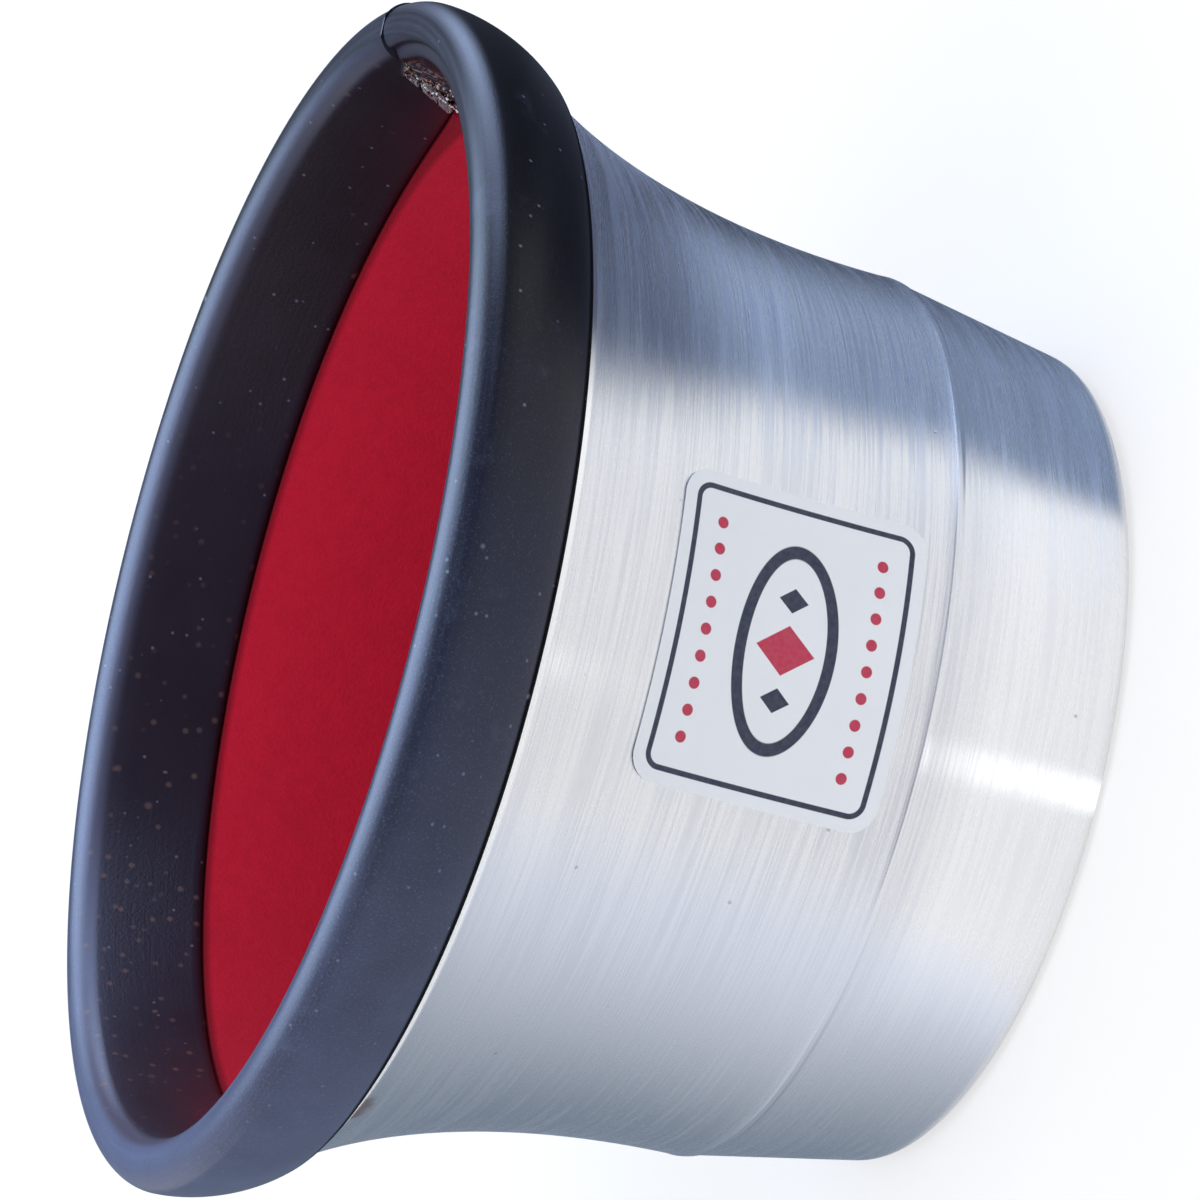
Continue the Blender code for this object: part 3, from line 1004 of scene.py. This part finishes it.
def makeFilm(values):
    rows, columns = values["rows"], values["columns"]
    tall, wide, corner = values["length"] / 2, values["width"] / 2, values["corner"]
    over = shifted(outside, -values["seat"] - values["thickness"])
    under = shifted(outside, -values["seat"])
    fronts, backs, across, upward = [], [], [], []
    for row in range(rows + 1):
        offset = -tall * math.cos(math.pi * row / rows)
        past = max(abs(offset) - (tall - corner), 0)
        half = wide - corner + math.sqrt(max(corner ** 2 - past ** 2, 0))
        height = values["height"] + offset
        for column in range(columns + 1):
            side = half * (2 * column / columns - 1)
            angle = math.radians(values["azimuth"]) + side / radiusAt(over, height)
            lift = values["lift"] * (abs(side) / wide) ** 6 * (abs(offset) / tall) ** 6
            outer, inner = radiusAt(over, height) + lift, radiusAt(under, height) + lift
            fronts.append(roundAxis(outer, angle, height))
            backs.append(roundAxis(inner, angle, height))
            across.append(side)
            upward.append(offset)
    count = len(fronts)
    border = [row * (columns + 1) for row in range(rows + 1)]
    border += [rows * (columns + 1) + column for column in range(1, columns + 1)]
    border += [row * (columns + 1) + columns for row in range(rows - 1, -1, -1)]
    border += [column for column in range(columns - 1, 0, -1)]
    faces = gridFaces(rows, columns)
    faces += [tuple(count + corner for corner in reversed(face)) for face in faces]
    for first, second in zip(border, border[1:] + border[:1]):
        faces.append((first, second, count + second, count + first))
    marks = {"across": across * 2, "upward": upward * 2}
    made = meshObject("printed_film", fronts + backs, faces, filmPaint(values), marks=marks)
    placed(made, "printed_film", "label")


makeFilm(film)
print("label made")


# Stage and light

studio = {
    "floorSize": 4.0,
    "floor": rgb(0.85, 0.85, 0.86),
    "floorGlow": 0.92,
    "floorShine": 0.13,  # more for the camera alone
    "floorMix": 0.55,
    "ambient": 0.75,
    "ambientTint": rgb(0.95, 0.98, 1.0),
}

# Cards that only reflections see: where each fans out from, the bearings it spans, the ring it covers and its
# tone, which turns with the bearing, and with the reach where it has a far or a dark one
cards = {
    "right_card": {
        "from": (0.0180, -0.0325),
        "span": (-17, 0, 85, 105),
        "near": rgb(0.20, 0.26, 0.38),
        "far": rgb(0.38, 0.48, 0.66),
        "farReach": (0.060, 0.135),
        "end": rgb(0.07, 0.085, 0.13),
        "turns": (26, 64),
        "dark": rgb(0.05, 0.06, 0.085),
        "darkReach": (0.126, 0.165),
        "ring": (0.008, 0.60),
        "level": 0.0006,
        "clear": (0.0440, 0.0462),  # nothing closer to the mute's axis
    },
    "left_card": {
        "from": (-0.0180, -0.0310),
        "span": (90, 110, 222, 248),
        "near": rgb(0.19, 0.235, 0.30),
        "end": rgb(0.83, 0.865, 0.96),
        "turns": (125, 235),
        "ring": (0.008, 0.60),
        "level": 0.0006,
        "clear": (0.0440, 0.0462),
    },
    "room_card": {
        "from": (0.0, 0.0),
        "span": (-165, -140, 110, 135),
        "near": rgb(0.16, 0.165, 0.20),
        "end": rgb(0.30, 0.34, 0.46),
        "turns": (50, 75),
        "ring": (0.150, 0.64),
        "inner": (0.21, 0.32),
        "level": 0.0003,
    },
    "front_card": {
        "from": (0.0, -0.0200),
        "span": (-96, -91.5, -88.5, -84),
        "near": rgb(1.25, 1.25, 1.27),
        "end": rgb(1.0, 1.0, 1.0),
        "turns": (0, 90),
        "ring": (0.008, 0.062),
        "level": 0.0005,
    },
    "flare_card": {
        "from": (0.0, 0.0),
        "span": (-56, -35, 30, 60),
        "near": rgb(0.080, 0.095, 0.150),
        "end": rgb(0.11, 0.13, 0.19),
        "turns": (-10, 30),
        "ring": (0.052, 0.110),
        "inner": (0.0555, 0.0680),
        "level": 0.042,
    },
}

# The room that only reflections see: dim all round, a broad light from the right and one from above
surround = {
    "radius": 0.66,
    "height": 1.1,
    "center": 0.07,
    "around": rgb(0.20, 0.22, 0.30),
    "back": rgb(0.16, 0.18, 0.25),
    "backFrom": (0.30, 0.80),
    "left": rgb(0.80, 0.84, 0.94),
    "leftFrom": (0.25, 0.75),
    "right": rgb(3.7, 4.75, 7.2),
    "rightWay": (0.966, 0.259, 0.0),
    "rightFrom": (0.60, 0.95),
    "rightRise": (-0.14, 0.28),
    "above": rgb(8.5, 11.0, 15.4),
    "aboveWay": (0.036, 0.205, 0.978),
    "aboveFrom": 0.64,
    "abovePower": 1.3,
}

lamps = {
    "front_lamp": {
        "place": (0.0, -0.45, 0.85),
        "size": (0.8, 0.6),
        "radiance": 3.0,
        "color": (1.0, 0.99, 0.98),
    },
    "back_lamp": {
        "place": (0.1, 0.95, 0.45),
        "size": (1.3, 0.7),
        "radiance": 2.1,
        "color": (0.62, 0.80, 1.0),
    },
}


def makeFloor(values):
    paint = Paint("pale_floor", {"Base Color": values["floor"], "Roughness": 0.9, "Specular IOR Level": 0.0})
    toCamera = paint.node("ShaderNodeLightPath", {}, {}, "Is Camera Ray")
    strength = toCamera * values["floorShine"] + values["floorGlow"]
    glow = paint.node("ShaderNodeEmission", {}, {"Color": rgb(1, 1, 1), "Strength": strength})
    paint.surface(paint.whiteToView() * values["floorMix"], Wire(paint, paint.shader.outputs[0]), glow)
    half = values["floorSize"] / 2
    corners = [(-half, -half, 0), (half, -half, 0), (half, half, 0), (-half, half, 0)]
    made = meshObject("floor", corners, [(0, 1, 2, 3)], paint.material)


def stageCard(made):
    made.visible_camera = False
    made.visible_diffuse = False
    made.visible_shadow = False
    made.visible_transmission = False


def cardPaint(paint, cover, tone):
    glow = paint.node("ShaderNodeEmission", {}, {"Color": tone, "Strength": 1.0})
    paint.surface(cover, paint.node("ShaderNodeBsdfTransparent", {}, {}), glow)


def makeSurround(values):
    paint = Paint("surround", {})
    way = paint.vector("NORMALIZE", paint.vector("SUBTRACT", paint.place(), (0, 0, values["center"])))
    x, y, z = (paint.axis(way, name) for name in "XYZ")
    tone = paint.tint(paint.rise(y, *values["backFrom"]), values["around"], values["back"])
    tone = paint.tint(paint.rise(0 - x, *values["leftFrom"]), tone, values["left"])
    rightward = paint.vector("DOT_PRODUCT", way, values["rightWay"], "Value")
    lit = paint.rise(rightward, *values["rightFrom"]) * paint.rise(z, *values["rightRise"])
    tone = paint.tint(lit, tone, values["right"])
    upward = paint.vector("DOT_PRODUCT", way, values["aboveWay"], "Value")
    lit = paint.most((upward - values["aboveFrom"]) / (1 - values["aboveFrom"]), 0.0)
    tone = paint.tint(paint.math("POWER", lit, values["abovePower"]), tone, values["above"])
    cardPaint(paint, 1.0, tone)
    steps = 64
    verts = [(0, 0, values["height"])]
    faces = []
    for step in range(steps):
        angle = 2 * math.pi * step / steps
        verts += [roundAxis(values["radius"], angle, height) for height in (0, values["height"])]
        low, after = 1 + 2 * step, 1 + 2 * ((step + 1) % steps)
        faces += [(low, after, after + 1, low + 1), (low + 1, after + 1, 0)]
    stageCard(meshObject("surround", verts, faces, paint.material))


def makeCard(name, values):
    paint = Paint(name, {})
    x, y = values["from"]
    place = paint.vector("SUBTRACT", paint.place(), (x, y, values["level"]))
    bearing = paint.math("ARCTAN2", paint.axis(place, "Y"), paint.axis(place, "X")) * (180 / math.pi)
    if values["span"][3] > 180:
        bearing = bearing + paint.math("LESS_THAN", bearing, 0.0) * 360
    reach = paint.length(place)
    opens, full, thins, ends = values["span"]
    cover = paint.rise(bearing, opens, full) * (1 - paint.rise(bearing, thins, ends))
    if values["ring"][1] < 0.5:  # a small card fades out, a large one runs past the room's wall
        cover = cover * (1 - paint.rise(reach, values["ring"][1] * 0.8, values["ring"][1]))
    if "inner" in values:
        cover = cover * paint.rise(reach, *values["inner"])
    if "clear" in values:
        cover = cover * paint.rise(paint.length(paint.outward()), *values["clear"])
    tone = values["near"]
    if "far" in values:
        tone = paint.tint(paint.rise(reach, *values["farReach"]), tone, values["far"])
    tone = paint.tint(paint.rise(bearing, *values["turns"]), tone, values["end"])
    if "dark" in values:
        tone = paint.tint(paint.rise(reach, *values["darkReach"]), tone, values["dark"])
    cardPaint(paint, cover, tone)
    starts, stops = values["ring"]
    profile = [(starts + (stops - starts) * share, values["level"]) for share in (0, 0.25, 1)]
    steps = 24
    verts = []
    for step in range(steps + 1):
        angle = math.radians(opens + (ends - opens) * step / steps)
        for radius, height in profile:
            verts.append((x + radius * math.cos(angle), y + radius * math.sin(angle), height))
    faces = flipped(gridFaces(steps, len(profile) - 1))
    stageCard(meshObject(name, verts, faces, paint.material))


def makeWorld(values):
    world = bpy.data.worlds.new("studio_air")
    bpy.context.scene.world = world
    world.use_nodes = True
    air = Nodes(world.node_tree, "World Output")
    room = world.node_tree.nodes["Background"]
    room.inputs["Color"].default_value = values["ambientTint"]
    room.inputs["Strength"].default_value = values["ambient"]
    white = air.node("ShaderNodeBackground", {}, {"Color": rgb(1, 1, 1)})
    air.surface(air.whiteToView(), Wire(air, room.outputs[0]), white)


def makeLamp(name, values):
    data = bpy.data.lights.new(name, "AREA")
    data.shape = "RECTANGLE"
    data.size, data.size_y = values["size"]
    data.energy = values["radiance"] * math.pi * data.size * data.size_y
    data.color = values["color"]
    made = added(name, data)
    made.location = values["place"]
    aim = Vector((0, 0, 0.04)) - made.location
    made.rotation_euler = aim.to_track_quat("-Z", "Y").to_euler()
    made.visible_glossy = False


makeFloor(studio)
makeWorld(studio)
for name, values in cards.items():
    makeCard(name, values)
makeSurround(surround)
for name, values in lamps.items():
    makeLamp(name, values)
print("stage and light made")

bpy.context.scene.view_settings.view_transform = "Standard"
